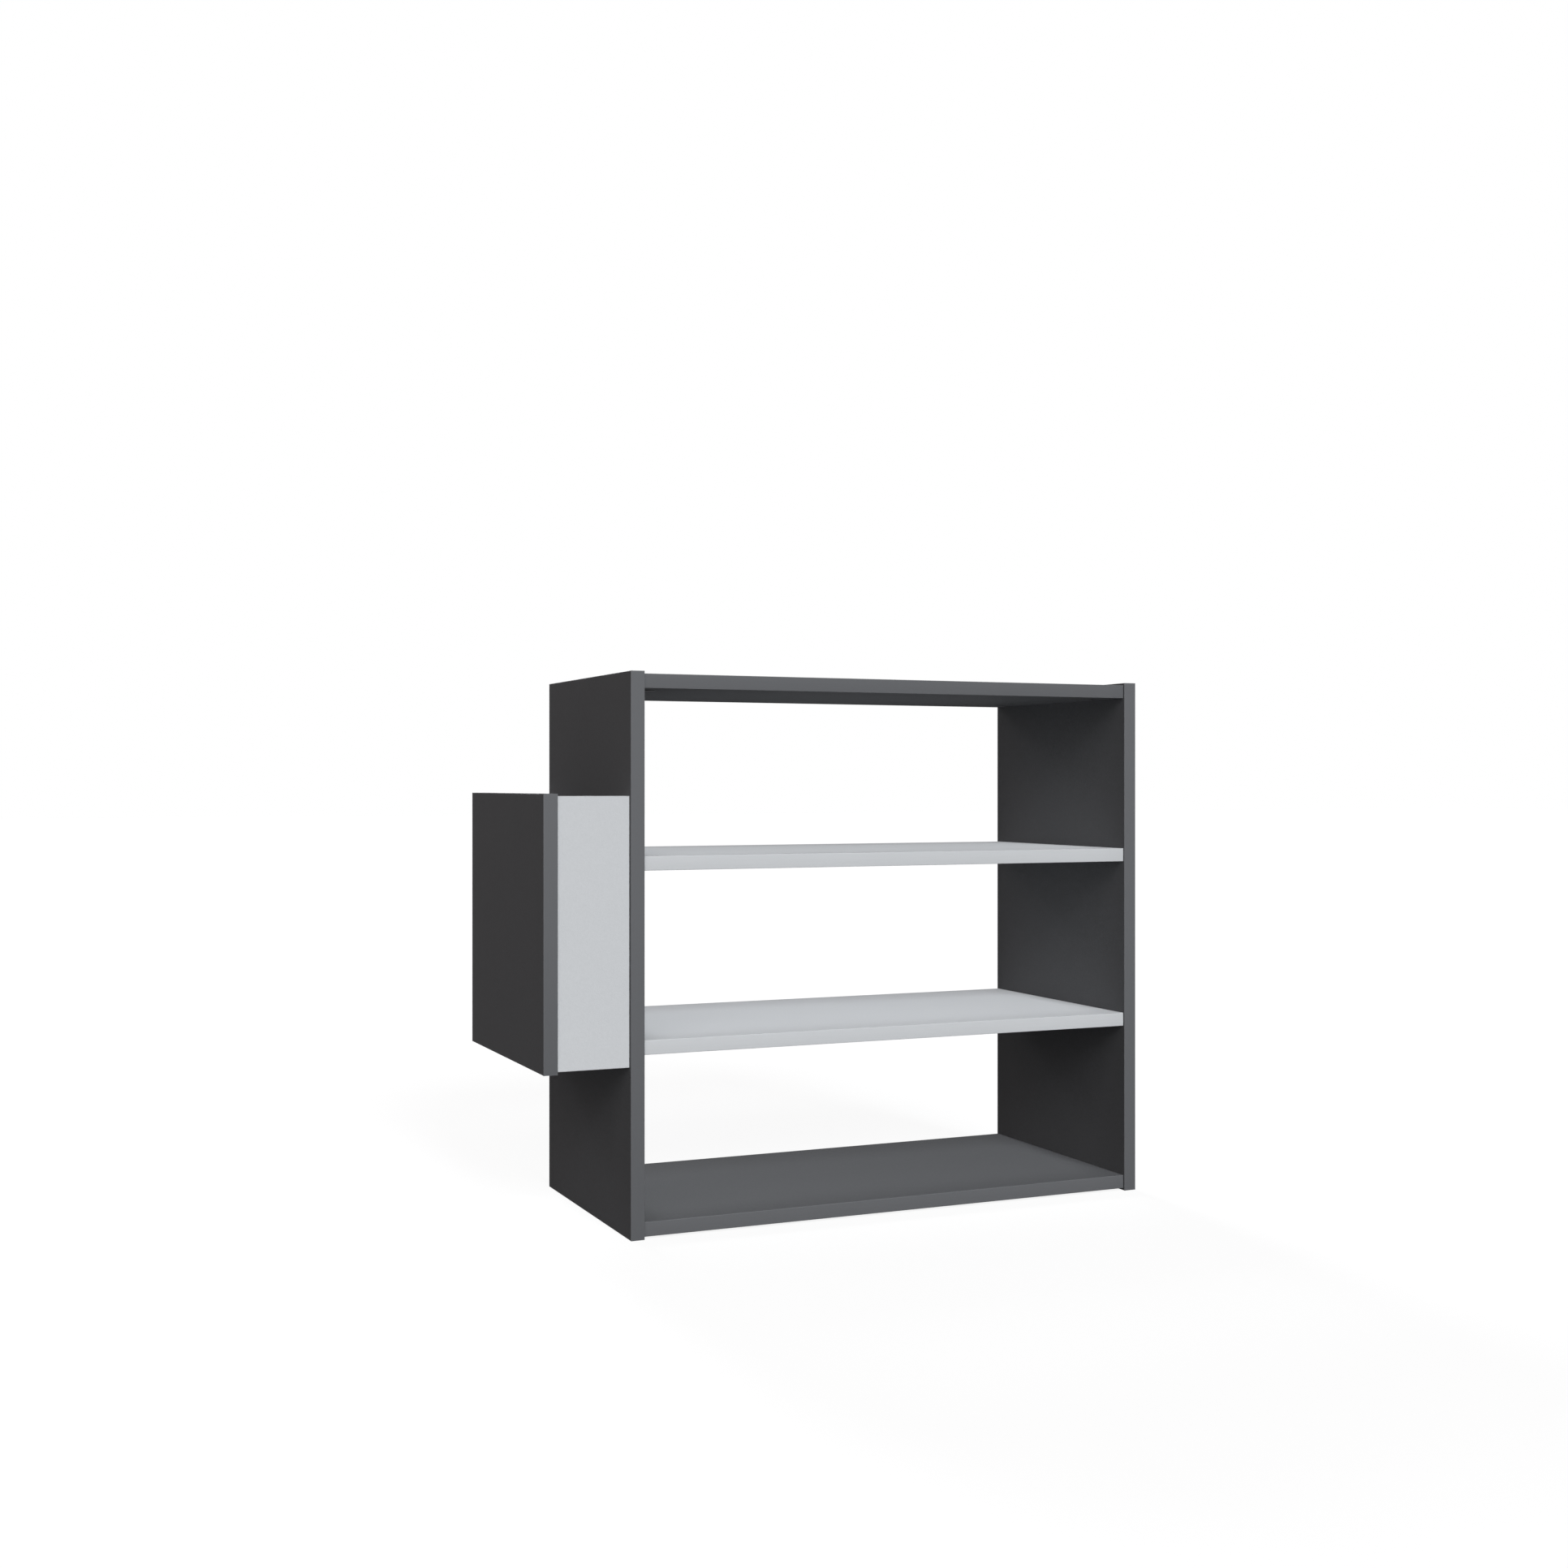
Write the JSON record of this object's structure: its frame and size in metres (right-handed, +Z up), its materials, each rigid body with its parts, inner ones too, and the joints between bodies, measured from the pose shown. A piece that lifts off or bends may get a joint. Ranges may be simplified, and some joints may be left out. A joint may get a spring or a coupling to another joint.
{
  "type": "shoe rack",
  "caption": "Open shoe rack of anthracite and white boards with shelves between two sides and a narrow open-topped pocket hung on the left side.",
  "frame": {"origin": "on the floor, under the middle of the whole rack's box, pocket included", "axes": "+X along the width to the right, away from the pocket; the front faces -Y; +Z up"},
  "size_m": [0.846, 0.346, 0.7],
  "materials": {
    "anthracite_board": "matte",
    "white_board": "matte",
    "anthracite_band": "matte",
    "white_band": "matte",
    "zinc_cam": "satin",
    "steel_bolt": "satin",
    "beech_dowel": "matte",
    "anthracite_cap": "satin",
    "white_cap": "satin"
  },
  "bodies": {
    "root": {"left_side_panel": "anthracite_board", "right_side_panel": "anthracite_board", "top_panel": "anthracite_board", "bottom_panel": "anthracite_board", "upper_shelf": "white_board", "lower_shelf": "white_board", "pocket_outer_panel": "anthracite_board", "pocket_front_panel": "white_board", "pocket_back_panel": "white_board", "pocket_floor_panel": "white_board", "left_side_edge_bands": "anthracite_band", "right_side_edge_bands": "anthracite_band", "pocket_outer_edge_bands": "anthracite_band", "top_panel_edge_bands": "anthracite_band", "top_panel_cams": "zinc_cam", "top_panel_cam_bolts": "steel_bolt", "top_panel_dowels": "beech_dowel", "top_panel_cam_caps": "anthracite_cap", "bottom_panel_edge_bands": "anthracite_band", "bottom_panel_cams": "zinc_cam", "bottom_panel_cam_bolts": "steel_bolt", "bottom_panel_dowels": "beech_dowel", "bottom_panel_cam_caps": "anthracite_cap", "upper_shelf_edge_bands": "white_band", "upper_shelf_cams": "zinc_cam", "upper_shelf_cam_bolts": "steel_bolt", "upper_shelf_dowels": "beech_dowel", "upper_shelf_cam_caps": "white_cap", "lower_shelf_edge_bands": "white_band", "lower_shelf_cams": "zinc_cam", "lower_shelf_cam_bolts": "steel_bolt", "lower_shelf_dowels": "beech_dowel", "lower_shelf_cam_caps": "white_cap", "pocket_front_edge_bands": "white_band", "pocket_front_cams": "zinc_cam", "pocket_front_cam_bolts": "steel_bolt", "pocket_front_dowels": "beech_dowel", "pocket_front_cam_caps": "white_cap", "pocket_back_edge_bands": "white_band", "pocket_back_cams": "zinc_cam", "pocket_back_cam_bolts": "steel_bolt", "pocket_back_dowels": "beech_dowel", "pocket_back_cam_caps": "white_cap", "pocket_floor_dowels": "beech_dowel"}
  },
  "joints": []
}
